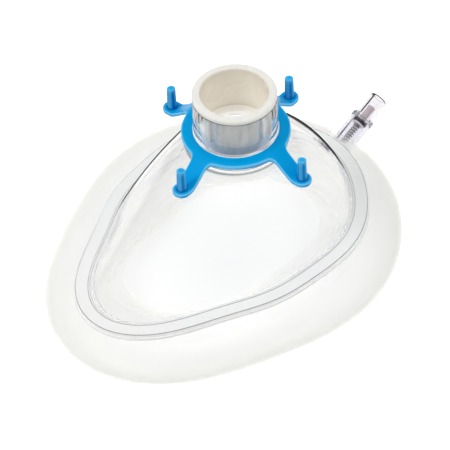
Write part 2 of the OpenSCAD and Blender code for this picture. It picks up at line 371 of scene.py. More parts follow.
def flange_rings():
    """(ring, amount of painted dark line) from the inner foot over the underside, lip, edge and
    top to the wall.
    """
    # offset from the flange outline, z, corner radius
    path = rounded([
        (-BAND - WALL, FLANGE_B + 1.0, 0), (-BAND - WALL, FLANGE_B, 0.25),
        (-BAND / 2, FLANGE_B, 0), (LIP, FLANGE_B, 0.10), (LIP, FLANGE_B + 0.62, 0),
        (LIP, FLANGE_B + 0.9, 0.12), (LIP - 0.22, FLANGE_B + 0.91, 0),
        (0.02, FLANGE_B + 0.95, 0.06), (-0.045, FLANGE_T - 0.3, 0), (-0.05, FLANGE_T, 0.16),
        (-0.36, FLANGE_T, 0), (-0.75, FLANGE_T, 0), (-BAND + 1.0, FLANGE_T, 0)], 4)
    out = []
    for offset, z in path:
        ink = 0.0
        if offset > LIP - 0.17 and z > FLANGE_B + 0.7:
            ink = 0.78
        elif -0.26 < offset < 0.0 and z > FLANGE_T - 0.2:
            ink = 0.88
        out.append((flange_ring(offset, z), ink))
    # small step at the root of the wall: distance from the band's inner edge, rise, painted dark
    # line
    for offset, rise, ink in ((0.85, 0.01, 0.0), (0.72, 0.06, 0.7), (0.60, 0.16, 0.95),
                              (0.50, 0.20, 0.3), (0.38, 0.22, 0.0)):
        out.append((flange_ring(-BAND + offset, FLANGE_T + rise), ink))
    return out


def bend_rings(p0, p1, p2, painted_dark_lines):
    """A curved blend with one ring for each painted dark line value."""
    steps = np.linspace(0, 1, len(painted_dark_lines) + 1)[1:]
    return [(bezier(p0, p1, p2, u), ink) for u, ink in zip(steps, painted_dark_lines)]


def neck_rings():
    """(ring, amount of painted dark line) up the outside of the neck, over its top and down its
    bore.
    """
    # r, z, corner radius
    path = rounded([
        (DOME_TOP_R - 0.35, DOME_TOP + 0.30, 0), (16.12, DOME_TOP + 0.75, 0.2),
        (15.5, SHOULDER_Z, 0.3), (NECK_R, SHOULDER_Z, 0.05), (NECK_R, DISC_TOP + 0.06, 0.1),
        # bead that holds the harness disc down
        (NECK_R + 0.3, DISC_TOP + 0.35, 0.15), (NECK_R + 0.3, DISC_TOP + 0.6, 0.15),
        (NECK_R, DISC_TOP + 0.9, 0.3), (NECK_R, DISC_TOP + 5, 0), (NECK_R, NECK_TOP, 0.22),
        (NECK_BORE, NECK_TOP, 0.2), (NECK_BORE, NECK_TOP - 6, 0), (NECK_BORE, STOP_Z, 0.15),
        (10.9, STOP_Z, 0.25), (10.9, STOP_Z - 1.2, 0.25), (NECK_BORE, STOP_Z - 1.9, 0.3),
        (NECK_BORE + 0.1, DOME_TOP, 0.4), (NECK_BORE + 0.3, DOME_TOP - 1.1, 0.0)], 5)
    return [(round_ring(r, z), 0.9 if abs(z - NECK_TOP) < 0.12 and r > NECK_R - 0.4 else 0.0)
            for r, z in path[1:]]


def build_dome():
    parts = flange_rings()
    # tight fillet between flange and wall
    parts += bend_rings(flange_ring(-BAND + 0.34, FLANGE_T + 0.22),
                        flange_ring(-BAND - 0.12, FLANGE_T + 0.22), dome_ring(86.5, 0),
                        (0.0, 0.2, 0.7, 0.95, 0.7, 0.2, 0.0))
    parts += [(dome_ring(t, 0), 0.0) for t in np.linspace(86.5, 9, 46)[1:]]
    parts += bend_rings(dome_ring(9, 0), round_ring(DOME_TOP_R + 0.15, DOME_TOP + 0.02),
                        round_ring(DOME_TOP_R - 0.35, DOME_TOP + 0.30),
                        (0.0, 0.0, 0.3, 0.85, 0.9, 0.5, 0.1, 0.0))
    parts += neck_rings()
    # the wall's inside
    parts += bend_rings(parts[-1][0], round_ring(DOME_TOP_R - 1.6, DOME_TOP - 1.5),
                        dome_ring(12, WALL), (0.0,) * 6)
    inside = [(dome_ring(t, WALL), 0.0) for t in np.linspace(12, 86, 40)[1:]]
    inner_count = len(inside) + 1       # with the ring the inner wall starts from
    parts += inside
    rings = [ring for ring, _ in parts]
    verts, faces = loops(rings)
    dome = make("dome_moulding", verts, faces, "mask", "dome_shell", 50)
    paint_dome(dome, parts, rings[-inner_count:])


def paint_dome(dome, parts, inner_rings):
    co = places(dome)
    z, radius = co[:, 2], np.hypot(co[:, 0], co[:, 1])
    from_centre = co[:, :2] - (0, FLANGE.centre_y)
    angle = np.arctan2(from_centre[:, 1], from_centre[:, 0])

    # painted dark lines, standing in for refraction lines at edges and steps; the flange's die
    # away along its -X side; angles -90 at the nose, 90 at the chin
    ink = {place_key(p): amount for ring, amount in parts if amount > 0 for p in ring}
    from_faded = np.abs((np.degrees(angle) - 165 + 180) % 360 - 180)
    strength = 0.12 + 0.88 * smooth01(from_faded, 35, 75)
    paint(dome, "ink", look_up(ink, co, 0.0) * np.where(z < FLANGE_T + 0.05, strength, 1.0))

    # the cushion's film is welded to the flange's underside and edge; the neck's bead is painted
    # pale as a highlight
    seam = oval(FLANGE, 720, -1.2) - (0, FLANGE.centre_y)
    seam_reach = np.interp(angle, np.arctan2(seam[:, 1], seam[:, 0]),
                           np.hypot(seam[:, 0], seam[:, 1]), period=2 * PI)
    edge = ((np.hypot(from_centre[:, 0], from_centre[:, 1]) > seam_reach)
            & (z < FLANGE_T - 0.25) & (z > FLANGE_B - 0.1))
    bead = ((radius > NECK_R - 0.1) & (radius < NECK_R + 0.6)
            & (z > DISC_TOP + 0.1) & (z < DISC_TOP + 0.9))
    underside = np.abs(z - FLANGE_B) < 0.02
    paint(dome, "weld", np.maximum(underside * 1.0, np.maximum(edge * 0.9, bead * 0.5)))

    # how sharply the wall curves round sets the width of its painted dark silhouette line
    curvature = {}
    for ring, _ in parts:
        p0, p1, p2 = np.roll(ring, 3, 0)[:, :2], ring[:, :2], np.roll(ring, -3, 0)[:, :2]
        a = np.linalg.norm(p1 - p0, axis=1)
        b = np.linalg.norm(p2 - p1, axis=1)
        c = np.linalg.norm(p2 - p0, axis=1)
        cross = ((p1[:, 0] - p0[:, 0]) * (p2[:, 1] - p0[:, 1])
                 - (p1[:, 1] - p0[:, 1]) * (p2[:, 0] - p0[:, 0]))
        bend = np.abs(2 * cross) / np.maximum(a * b * c, 1e-9)
        for point, value in zip(ring, bend):
            curvature[place_key(point)] = value
    line_width = 0.5
    bend = np.minimum(look_up(curvature, co, 1 / 30), 1 / 14)
    line = np.clip(np.sqrt(2 * line_width * bend), 0.06, 0.22)
    paint(dome, "line", np.where(radius < DOME_TOP_R, 0.03, line))

    # the silhouette line fades towards the flange and is weak on the inner wall
    high = 0.1 + 0.9 * smooth01(z, FLANGE_T + 0.8, FLANGE_T + 4)
    inner = {place_key(p) for ring in inner_rings for p in ring}
    on_inner = np.array([place_key(p) in inner for p in co])
    paint(dome, "high", np.where(on_inner, high * 0.3, high))


# ------------------------------------------------------------------ connector socket
GROOVES = 5
GROOVE_FROM, GROOVE_TO = DISC_TOP + 3.6, NECK_TOP - 0.9
PAD_R = NECK_BORE - 0.02                # the padded outside, a close fit in the neck


def groove_mm(angle):
    """Distance round the socket from the middle of the nearest groove."""
    k = ((np.degrees(angle) + 9.0) / (360 / GROOVES)) % 1.0
    return np.minimum(k, 1 - k) * 2 * PI / GROOVES * NECK_BORE


def socket_grooves(radii, z, angle):
    if 12.3 < radii[0] < 12.7 and z < GROOVE_TO + 0.1:
        radii = radii - 0.55 * np.clip((0.95 - groove_mm(angle)) / 0.3, 0, 1)
        # each pad is very slightly dished, as the moulding shrinks
        radii = radii - (0.05 * np.cos(angle * 15 + 0.9) + 0.03 * np.cos(angle * 40))
    return radii


def build_socket():
    base = STOP_Z + 0.1
    # r, z, corner radius
    path = closed_profile([
        (LEDGE_R, base, 0), (12.1, base, 0.3), (12.1, DISC_TOP + 3.3, 0.1),
        (PAD_R, DISC_TOP + 3.8, 0.25), (PAD_R, NECK_TOP + 0.05, 0.05),
        (14.0, NECK_TOP + 0.05, 0.25), (14.0, RIM_TOP, 0.75), (SOCKET_R, RIM_TOP, 0.65),
        (SOCKET_R, DISC_TOP + 3, 0), (SOCKET_R, DISC_TOP, 0.3), (LEDGE_R, DISC_TOP, 0.3)], 6)
    # more rings up the padded outside so the grooves have clean ends
    heights = [*np.arange(GROOVE_FROM + 0.6, GROOVE_FROM + 2.6, 0.25),
               GROOVE_TO - 0.4, GROOVE_TO, GROOVE_TO + 0.25]
    profile = []
    for i, (r, z) in enumerate(path):
        profile.append((r, z))
        if abs(r - PAD_R) < 1e-6 and z < NECK_TOP - 3 and path[i + 1][1] > z + 3:
            profile += [(r, h) for h in heights if z < h < path[i + 1][1]]
    verts, faces = lathe(profile, 360, socket_grooves)
    socket = make("connector_socket", verts, faces, "mask", "connector_bush", 38)

    co = places(socket)
    z, radius = co[:, 2], np.hypot(co[:, 0], co[:, 1])
    # painted shade on the socket's outside where it sits inside the clear neck
    outside = (smooth01(radius, 11.7, 11.95)
               * (1 - smooth01(z, NECK_TOP - 0.05, NECK_TOP + 0.02)))
    paint(socket, "inside_neck", outside)
    # painted shade: 1 in the grooves and below the pads, 0 on the pads, whose lower corners are
    # rounded
    sideways = groove_mm(np.arctan2(co[:, 1], co[:, 0])) - 0.62
    upward = z - GROOVE_FROM
    corner = 1.7
    inset = np.where((sideways < corner) & (upward < corner),
                     corner - np.hypot(corner - sideways, corner - upward),
                     np.minimum(sideways, upward))
    paint(socket, "groove", outside * (1 - smooth01(inset, -0.1, 0.35)))
    # painted shade in the bore
    paint(socket, "bore", 1 - smooth01(radius, SOCKET_R + 0.1, SOCKET_R + 0.6))
    # painted shade on the upright outer wall of the rim
    paint(socket, "rim_wall", (radius > 13.7) * (z > NECK_TOP)
          * (1 - smooth01(z, RIM_TOP - 0.95, RIM_TOP - 0.5)))
    # painted light on the floor inside the socket
    paint(socket, "floor_in", (1 - smooth01(radius, 10.9, 11.1))
          * (1 - smooth01(z, DISC_TOP + 0.1, DISC_TOP + 1.2)))


# ------------------------------------------------------------------ harness ring
ARM_BEND_FROM, ARM_BEND_TO = 17.3, 26   # radii between which an arm drops
TAPER_FROM, TAPER_RUN = 18, 4           # where the disc's thickness becomes the arm's
ROOT_R = 2.6                            # fillet between arm and disc


def arm_z(r):
    u = np.clip((r - ARM_BEND_FROM) / (ARM_BEND_TO - ARM_BEND_FROM), 0, 1)
    return DISC_TOP - ARM_DROP * (0.75 * u + 0.25 * (u * u * (3 - 2 * u)))


def ring_top(xy):
    return arm_z(np.hypot(xy[:, 0], xy[:, 1]))


def ring_bottom(xy):
    r = np.hypot(xy[:, 0], xy[:, 1])
    taper = np.clip((r - TAPER_FROM) / TAPER_RUN, 0, 1)
    return arm_z(r) - DISC_T + (DISC_T - ARM_T) * taper


def ring_outline():
    """Outline of disc and four arms as (x, y), counter-clockwise."""
    half_w = ARM_W / 2
    # the +Y half of the arm on +X: round end, straight flank, root fillet, disc to 45 degrees
    half = []
    for degrees in np.linspace(0, 90, 13):
        a = math.radians(degrees)
        half.append((PEG_CIRCLE + half_w * math.cos(a), half_w * math.sin(a)))
    for r in np.linspace(PEG_CIRCLE - 0.6, 21.0, 11):
        half.append((r, half_w))
    centre_y = half_w + ROOT_R
    centre_x = math.sqrt((DISC_R + ROOT_R) ** 2 - centre_y ** 2)
    start, end = -PI / 2, math.atan2(-centre_y, -centre_x)
    for u in np.linspace(0, 1, 11)[1:]:
        a = start + (end - start) * u
        half.append((centre_x + ROOT_R * math.cos(a), centre_y + ROOT_R * math.sin(a)))
    for t in np.linspace(math.atan2(centre_y, centre_x), PI / 4, 14)[1:]:
        half.append((DISC_R * math.cos(t), DISC_R * math.sin(t)))
    half = np.array(half)
    mirror = half[::-1][:-1] * np.array([1, -1])
    arm = np.concatenate([mirror, half])[1:]        # the neighbouring arm ends on the first point
    out = []
    for k in range(4):
        c, s = math.cos(k * PI / 2), math.sin(k * PI / 2)
        out.append(arm @ np.array([[c, s], [-s, c]]))
    return np.concatenate(out)


def at_rest(points):
    """Turns points about Z to the ring's rest angle."""
    c, s = math.cos(RING_TURN), math.sin(RING_TURN)
    x, y, z = points[:, 0], points[:, 1], points[:, 2]
    return np.stack([x * c - y * s, x * s + y * c, z], 1)


def ring_rings(outline):
    """Cross-section rings: hole edge, top, rounded outer edge, underside, hole edge."""
    tangent = np.roll(outline, -1, 0) - np.roll(outline, 1, 0)
    tangent /= np.linalg.norm(tangent, axis=1)[:, None]
    normal = np.stack([tangent[:, 1], -tangent[:, 0]], 1)
    angle = np.arctan2(outline[:, 1], outline[:, 0])
    spoke = np.stack([np.cos(angle), np.sin(angle)], 1)
    hole = NECK_R + 0.08
    edge_r = 0.34
    edge = outline - normal * edge_r
    start = spoke * (hole + 0.25)
    steps = np.linspace(0, 1, 19)
    # chamfer of the hole: distance out from its wall, depth below the surface
    chamfer = ((0, 0.25), (0.07, 0.07))
    rings = []
    for out, depth in chamfer:
        xy = spoke * (hole + out)
        rings.append(lift(xy, ring_top(xy) - depth))
    for u in steps:
        xy = start * (1 - u) + edge * u
        rings.append(lift(xy, ring_top(xy)))
    for degrees in (30, 60, 90):
        s, c = math.sin(math.radians(degrees)), math.cos(math.radians(degrees))
        rings.append(lift(edge + normal * edge_r * s, ring_top(edge) - edge_r * (1 - c)))
    for degrees in (90, 60, 30):
        s, c = math.sin(math.radians(degrees)), math.cos(math.radians(degrees))
        rings.append(lift(edge + normal * edge_r * s, ring_bottom(edge) + edge_r * (1 - c)))
    for u in steps[::-1]:
        xy = start * (1 - u) + edge * u
        rings.append(lift(xy, ring_bottom(xy)))
    for out, depth in chamfer[::-1]:
        xy = spoke * (hole + out)
        rings.append(lift(xy, ring_bottom(xy) + depth))
    return rings


def build_ring():
    outline = ring_outline()
    verts, faces = loops(ring_rings(outline))
    ring = make("harness_ring", at_rest(verts), faces, "ring", "hook_ring", 50)

    # peg: (amount beyond the peg's radius, height above the arm), flared at its foot
    flare = ((0.2, -0.9), (0.62, -0.02), (0.42, 0.07), (0.24, 0.25), (0.2, 0.6), (0.17, 1.0),
             (0.12, 3.0), (0.06, 5.5))
    profile = [(0, PEG_FOOT - 0.9), *((PEG_R + out, PEG_FOOT + up) for out, up in flare)]
    profile += rounded([(PEG_R + 0.04, PEG_FOOT + 6.5, 0), (PEG_R + 0.01, PEG_TOP - 0.32, 0.08),
                        (PEG_R - 0.32, PEG_TOP, 0.12), (0, PEG_TOP, 0)], 6)
    centres = np.array([(PEG_CIRCLE * math.cos(k * PI / 2), PEG_CIRCLE * math.sin(k * PI / 2), 0)
                        for k in range(4)])
    for centre in centres:
        verts, faces = lathe(profile, 40)
        combine(ring, "peg", at_rest(verts + centre), faces, "UNION")
    shade(ring, 42)
    paint_ring(ring, at_rest(lift(outline, 0.0))[:, :2], at_rest(centres))


def paint_ring(ring, outline, peg_centres):
    co = places(ring)
    xy, z = co[:, :2], co[:, 2]
    to_outline = np.full(len(co), 9.0)
    for p, q in zip(outline, np.roll(outline, -1, 0)):
        side = q - p
        t = np.clip(((xy - p) @ side) / (side @ side), 0, 1)
        to_outline = np.minimum(to_outline, np.hypot(*(xy - p - t[:, None] * side).T))
    to_peg = np.min([np.hypot(co[:, 0] - c[0], co[:, 1] - c[1]) for c in peg_centres], axis=0)

    # painted highlight along the upper outer edge and round the pegs' tops
    top = ring_top(co)
    edge = (1 - smooth01(to_outline, 0.2, 0.42)) * smooth01(z, top - 0.5, top - 0.2)
    edge = edge * (z < top + 0.1)
    peg_edge = (smooth01(z, PEG_TOP - 0.5, PEG_TOP - 0.15)
                * smooth01(to_peg, PEG_R - 0.5, PEG_R - 0.2))
    paint(ring, "rim", np.maximum(edge, 0.8 * peg_edge))

    # painted contact shadow round the pegs' feet
    around = (smooth01(to_peg, PEG_R - 0.2, PEG_R + 0.1)
              * (1 - smooth01(to_peg, PEG_R + 0.45, PEG_R + 0.66)))
    paint(ring, "foot", 0.75 * around * (z > PEG_FOOT - 0.1)
          * (1 - smooth01(z, PEG_FOOT + 0.15, PEG_FOOT + 0.9)))


# ------------------------------------------------------------------ air cushion
def build_cushion():
    around, section = 240, 72           # points round the mask and round the tube
    outer, inner = oval(CUSHION, around), oval(OPENING, around)
    height = FLANGE_B - 0.04
    squareness = 0.92
    rings = []
    for j in range(section):
        angle = 2 * PI * j / section
        c, s = math.cos(angle), math.sin(angle)
        u = (1 - math.copysign(abs(c) ** squareness, c)) / 2
        # overshoots by 0.5 and is held to the height, which leaves flat lands above and below
        z = height / 2 + (height / 2 + 0.5) * math.copysign(abs(s) ** squareness, s)
        rings.append(lift(outer * (1 - u) + inner * u, min(height, max(0.0, z))))
    rings = np.array(rings)
    # the film is drawn up a little round the valve
    along, _, radius = valve_cylindrical(rings)
    pull = np.where(along > 2, np.exp(-(np.maximum(radius - 3.4, 0) / 1.8) ** 2), 0) * 0.6
    rings = rings + pull[..., None] * VALVE_AXIS
    verts, faces = loops(list(rings))
    cushion = make("air_cushion", verts, faces, "mask", "cushion", None)

    # hole for the valve, with the well the guide pin moves in
    hole_r = HOUSING_R + 0.01
    verts, faces = lathe([(0, -2.6), (2.75, -2.6), (2.75, -0.04), (hole_r, -0.04),
                          (hole_r, 12), (0, 12)], 72)
    combine(cushion, "cutter", on_valve(verts), faces, "DIFFERENCE")
    shade(cushion, 60)

    # across is 0 at the outer silhouette, 1 at the edge of the face opening
    co = places(cushion)
    reach = np.hypot(co[:, 0], co[:, 1] - CUSHION.centre_y)
    outer_r, inner_r = (oval_radius(o, np.arctan2(co[:, 0], -(co[:, 1] - o.centre_y)))
                        for o in (CUSHION, OPENING))
    across = (outer_r - reach) / (outer_r - inner_r)
    paint(cushion, "thin", smooth01(across, 0.22, 1.0))
    along, _, radius = valve_cylindrical(co)
    paint(cushion, "port", (1 - smooth01(radius, 4.5, 10.5)) * smooth01(along, -7, 1))


# ------------------------------------------------------------------ inflation valve
def valve_part(name, profile, n, body, cad_piece):
    verts, faces = lathe(profile, n)
    return make(name, on_valve(verts), faces, body, cad_piece, 42)


def bore_streak(part, bore_r, z_from, z_to, tip=None):
    """Painted dark line along one side of the bore, standing in for a refraction line, and a thin
    painted dark line round the tube's tip above z = tip.
    """
    turned, tilt = math.radians(VIEW_TURN), math.radians(VIEW_TILT)
    eye = np.array([math.sin(turned) * math.cos(tilt), -math.cos(turned) * math.cos(tilt),
                    math.sin(tilt)])
    eye -= (eye @ VALVE_AXIS) * VALVE_AXIS
    eye /= np.linalg.norm(eye)
    side = np.cross(VALVE_AXIS, eye)
    view_right = np.array([math.cos(turned), math.sin(turned), 0.0])
    if side @ view_right > 0:
        side = -side
    along, outward, radius = valve_cylindrical(places(part))
    angle = np.degrees(np.arctan2(outward @ side, outward @ eye))
    ink = ((1 - smooth01(np.abs(angle - 57.0), 5.0, 11.0))
           * (np.abs(radius - bore_r) < 0.12) * (along > z_from) * (along < z_to))
    if tip is not None:
        upper_side = smooth01(outward[:, 2] / np.maximum(radius, 1e-6), -0.3, 0.3)
        ink = np.maximum(ink, 0.75 * (along > tip) * (radius > LUER_R - 0.25) * upper_side)
    paint(part, "ink", ink)


# In the profiles below the columns are r, z along the valve, corner radius.
def build_housing():
    pin_hole, rim_r = 0.72, HOUSING_R + 0.35
    profile = closed_profile([
        (pin_hole, 0.0, 0), (HOUSING_R, 0.0, 0.35), (HOUSING_R, COLLAR - 0.8, 0.08),
        (rim_r, COLLAR - 0.8, 0.15), (rim_r, COLLAR, 0.15), (HOUSING_BORE, COLLAR, 0.1),
        (HOUSING_BORE, HOUSING_FLOOR, 0.5), (pin_hole, HOUSING_FLOOR, 0.15)], 5)
    housing = valve_part("valve_housing", profile, 96, "mask", "valve_body")
    bore_streak(housing, HOUSING_BORE, 2.6, COLLAR - 0.2)


def build_luer():
    tip, rim_r = VALVE_LEN, HOUSING_R + 0.35
    profile = closed_profile([
        (LUER_BORE, COLLAR - 0.65, 0), (2.7, COLLAR - 0.65, 0.08), (2.7, COLLAR + 0.02, 0.05),
        (rim_r, COLLAR + 0.02, 0.12), (rim_r, COLLAR + 1.15, 0.4), (LUER_R, COLLAR + 1.2, 0.22),
        (LUER_R, tip - 0.55, 0), (LUER_R, tip - 0.4, 0), (LUER_R, tip, 0.22), (2.12, tip, 0.16),
        (2.12, tip - 0.7, 0), (2.1, tip - 3.6, 0), (2.05, COLLAR + 1.6, 0),
        (LUER_BORE, COLLAR + 0.6, 0)], 5)
    luer = valve_part("valve_luer", profile, 96, "mask", "valve_luer_port")
    bore_streak(luer, 2.08, COLLAR + 1.0, tip - 0.1, tip - 0.45)


def build_stem():
    top, pin_r = VALVE_LEN - 4.1, 0.65
    profile = rounded([
        (0, 0.4, 0), (pin_r, 0.4, 0.2), (pin_r, PLATE, 0.05), (2.2, PLATE, 0.12),
        (2.2, PLATE + 0.6, 0.12), (0.8, PLATE + 0.6, 0.03), (0.8, PLATE + 1.9, 0.03),
        (1.3, PLATE + 1.9, 0.1), (1.3, top, 0.25), (0.75, top, 0.1), (0.65, top - 0.5, 0.1),
        (0, top - 0.5, 0)], 4)
    stem = valve_part("stem_plunger", profile, 64, "stem", "valve_stem")
    along = valve_cylindrical(places(stem))[0]
    paint(stem, "low", 1 - smooth01(along, PLATE + 1.0, PLATE + 1.9))


def build_seal():
    profile = closed_profile([(0.81, PLATE + 0.62, 0), (2.5, PLATE + 0.62, 0.25),
                              (2.5, PLATE + 1.88, 0.3), (0.81, PLATE + 1.88, 0.05)], 5)
    valve_part("stem_seal", profile, 64, "stem", "valve_seal")


def build_spring():
    """Return spring: close coils at both ends, open in the middle."""
    coils, coil_steps, wire_n = 10, 28, 12
    wire_r, coil_r = 0.17, 1.12
    end_pitch = 0.42                    # rise over the first and over the last coil
    low, high = HOUSING_FLOOR + wire_r + 0.03, PLATE - wire_r - 0.05
    total = coils * coil_steps
    around = turn(wire_n)[:, None]
    rings = []
    for i in range(total + 1):
        done = i / total * coils
        if done < 1:
            rise = end_pitch * done
        elif done > coils - 1:
            rise = (high - low) - end_pitch * (coils - done)
        else:
            rise = end_pitch + (high - low - 2 * end_pitch) * (done - 1) / (coils - 2)
        a = done * 2 * PI
        outward = np.array([math.cos(a), math.sin(a), 0])
        centre = np.array([coil_r * math.cos(a), coil_r * math.sin(a), low + rise])
        rings.append(centre + wire_r * (np.cos(around) * outward
                                        + np.sin(around) * np.array([0, 0, 1.0])))
    verts, faces = loops(rings, closed=False)
    faces.append(tuple(range(wire_n))[::-1])
    faces.append(tuple(total * wire_n + j for j in range(wire_n)))
    spring = make("return_spring", on_valve(verts), faces, "mask",
                  "valve_spring", 42)
    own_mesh(spring)


build_dome()
build_socket()
build_ring()
build_cushion()
build_housing()
build_luer()
build_stem()
build_seal()
build_spring()


# ------------------------------------------------------------------ shader building blocks
class Graph:
    """Short calls that fill a node tree.

    Wherever an input takes a value, a socket is linked to it and anything else is set on it.
    The calls return an output socket, except node(), which returns the node.
    """

    def __init__(self, owner):
        owner.use_nodes = True
        self.tree = owner.node_tree
        self.tree.nodes.clear()

    def node(self, kind, inputs=None, **settings):
        node = self.tree.nodes.new("ShaderNode" + kind)
        for name, value in settings.items():
            setattr(node, name, value)
        for key, value in (inputs or {}).items():
            socket = node.inputs[key]
            if isinstance(value, bpy.types.NodeSocket):
                self.tree.links.new(value, socket)
            elif socket.type == "RGBA":
                socket.default_value = (*value, 1)
            else:
                socket.default_value = value
        return node

    def shader(self, kind, **inputs):
        return self.node(kind, inputs).outputs[0]

    def math(self, operation, *values):
        return self.node("Math", dict(enumerate(values)), operation=operation).outputs[0]

    def remap(self, value, source, target, smooth=True):
        """Maps the range source to the range target, clamped."""
        inputs = {"Value": value, "From Min": source[0], "From Max": source[1],
                  "To Min": target[0], "To Max": target[1]}
        kind = "SMOOTHSTEP" if smooth else "LINEAR"
        return self.node("MapRange", inputs, interpolation_type=kind).outputs["Result"]

    def mix(self, factor, a, b, **settings):
        return self.node("Mix", {0: factor, 6: a, 7: b}, data_type="RGBA", **settings).outputs[2]

    def blend(self, factor, a, b):
        return self.node("MixShader", {0: factor, 1: a, 2: b}).outputs[0]

    def sum(self, a, b):
        return self.node("AddShader", {0: a, 1: b}).outputs[0]

    def painted(self, name):
        return self.node("Attribute", attribute_name=name).outputs["Fac"]

    def facing(self, **inputs):
        """0 where a surface faces the eye, 1 at its silhouette."""
        return self.node("LayerWeight", {"Blend": 0.5, **inputs}).outputs["Facing"]

    def noise(self, scale, detail=3.0, stretch=(1, 1, 1)):
        place = self.node("TexCoord").outputs["Object"]
        mapped = self.node("Mapping", {"Vector": place, "Scale": stretch}).outputs["Vector"]
        inputs = {"Vector": mapped, "Scale": scale, "Detail": detail}
        return self.node("TexNoise", inputs).outputs["Fac"]

    def bump(self, height, strength, distance):
        inputs = {"Height": height, "Strength": strength, "Distance": distance}
        return self.node("Bump", inputs).outputs["Normal"]

    def ramp(self, factor, stops, interpolation="LINEAR"):
        """stops are (position, colour), in order."""
        node = self.node("ValToRGB", {"Fac": factor})
        node.color_ramp.interpolation = interpolation
        elements = node.color_ramp.elements
        for element, (position, colour) in zip(elements, (stops[0], stops[-1])):
            element.position, element.color = position, (*colour, 1)
        for position, colour in stops[1:-1]:
            elements.new(position).color = (*colour, 1)
        return node.outputs["Color"]

    def output(self, surface, kind="OutputMaterial"):
        self.node(kind, {"Surface": surface})


def new_material(name):
    material = bpy.data.materials.new(name)
    return material, Graph(material)


# ------------------------------------------------------------------ clear materials
def clear_body(g, colour, rough, ior, scale):
    """Refracting plastic with a faint waviness of the given noise scale."""
    waves = g.noise(scale)
    normal = g.bump(waves, strength=0.02, distance=0.0004)
    roughness = g.remap(waves, (0.3, 0.7), (rough * 0.5, rough * 1.6), smooth=False)
    return g.node("BsdfPrincipled", {"IOR": ior, "Transmission Weight": 1.0, "Base Color": colour,
                                     "Roughness": roughness, "Normal": normal}).outputs[0]


def clear_output(g, surface):
    """Clear to shadow and diffuse rays, so it doesn't darken what it covers."""
    clear = g.shader("BsdfTransparent", Color=(0.993, 0.994, 0.995))
    ray = g.node("LightPath").outputs
    unseen = g.math("MAXIMUM", ray["Is Shadow Ray"], ray["Is Diffuse Ray"])
    g.output(g.blend(unseen, surface, clear))


def clear_dome():
    material, g = new_material("clear_dome")
    # painted dark silhouette line of an even width, standing in for refraction, fading towards the
    # flange
    slant = g.math("SUBTRACT", 1.0, g.facing())
    widths_in = g.math("DIVIDE", slant, g.painted("line"))
    line = g.remap(widths_in, (0.75, 1.1), (1.0, 0.0))
    strength = g.remap(g.painted("high"), (0.0, 1.0), (0.12, 0.97), smooth=False)
    outline = g.math("MULTIPLY", line, strength)
    # the painted dark lines darken the glass's colour
    colour = g.mix(g.painted("ink"), (0.990, 0.988, 0.985), (0.02, 0.035, 0.035))
    body = clear_body(g, colour, rough=0.012, ior=1.42, scale=60.0)
    lined = g.blend(outline, body, g.shader("BsdfDiffuse", Color=(0.012, 0.016, 0.018)))
    # white weld with a slight painted glow; on the neck's bead the same white is a painted
    # highlight
    weld = g.sum(g.shader("BsdfDiffuse", Color=(0.91, 0.908, 0.898)),
                 g.shader("Emission", Color=(1, 1, 0.99), Strength=0.05))
    clear_output(g, g.blend(g.math("MULTIPLY", g.painted("weld"), 0.82), lined, weld))
    return material


def clear_valve(name, tint, painted_dark_line_tint, edge_from, outline_range, outline_amount, outline_tint):
    """Clear violet plastic.

    Its tint deepens into painted shade from edge_from on towards the silhouette, where a painted
    dark outline of outline_amount covers outline_range; both count in facing, 1 being the
    silhouette.
    """
    material, g = new_material(name)
    facing, ink = g.facing(), g.painted("ink")
    tinted = g.ramp(facing, ((edge_from, tint), (0.97, (0.12, 0.11, 0.20))), "EASE")
    body = clear_body(g, g.mix(ink, tinted, painted_dark_line_tint), rough=0.015, ior=1.49, scale=200)
    lined = g.blend(g.remap(facing, outline_range, (0.0, outline_amount)), body,
                    g.shader("BsdfDiffuse", Color=outline_tint))
    # the painted dark lines are laid on as a dark diffuse
    clear_output(g, g.blend(g.math("MULTIPLY", ink, 0.9), lined,
                            g.shader("BsdfDiffuse", Color=(0.012, 0.011, 0.018))))
    return material


def milky_film():
    """Film of the cushion: partly see-through face on, closing up towards the silhouette."""
    material, g = new_material("milky_film")
    normal = g.bump(g.noise(45), strength=0.06, distance=0.0006)
    facing = g.facing(Normal=normal)
    warmth = g.ramp(facing, ((0.0, (0.895, 0.894, 0.887)), (0.5, (0.885, 0.88, 0.862)),
                             (1.0, (0.87, 0.855, 0.82))))
    colour = g.mix(0.06, warmth, g.noise(28.0, detail=4.0), blend_type="MULTIPLY")
    skin = g.shader("BsdfPrincipled", IOR=1.45, Roughness=0.32, Normal=normal,
                    **{"Base Color": colour})
    milky = g.blend(0.42, skin, g.shader("BsdfTranslucent", Color=colour))
    # painted glow at the silhouette, standing in for light scattered along the film
    glow = g.shader("Emission", Color=(1.0, 0.985, 0.95),
                    Strength=g.remap(facing, (0.4, 1.0), (0.0, 0.23)))
    film = g.sum(milky, glow)
    # the film is drawn thin at the face opening and over the valve
    face_on = g.remap(facing, (0.0, 0.85), (0.5, 0.10), smooth=False)
    thin = g.math("MAXIMUM", g.math("MULTIPLY", g.painted("thin"), 0.96),
                  g.math("MULTIPLY", g.painted("port"), 0.88))
    clear = g.shader("BsdfTransparent", Color=(0.985, 0.985, 0.98))
    g.output(g.blend(g.math("MAXIMUM", thin, face_on), film, clear))
    return material


# ------------------------------------------------------------------ solid materials
def painted_over(g, colour, layers):
    """Lays a colour over each painted attribute."""
    for name, tint in layers.items():
        colour = g.mix(g.painted(name), colour, tint)
    return colour


def subsurface(weight, radius):
    return {"Subsurface Weight": weight, "Subsurface Radius": radius, "Subsurface Scale": 0.002}


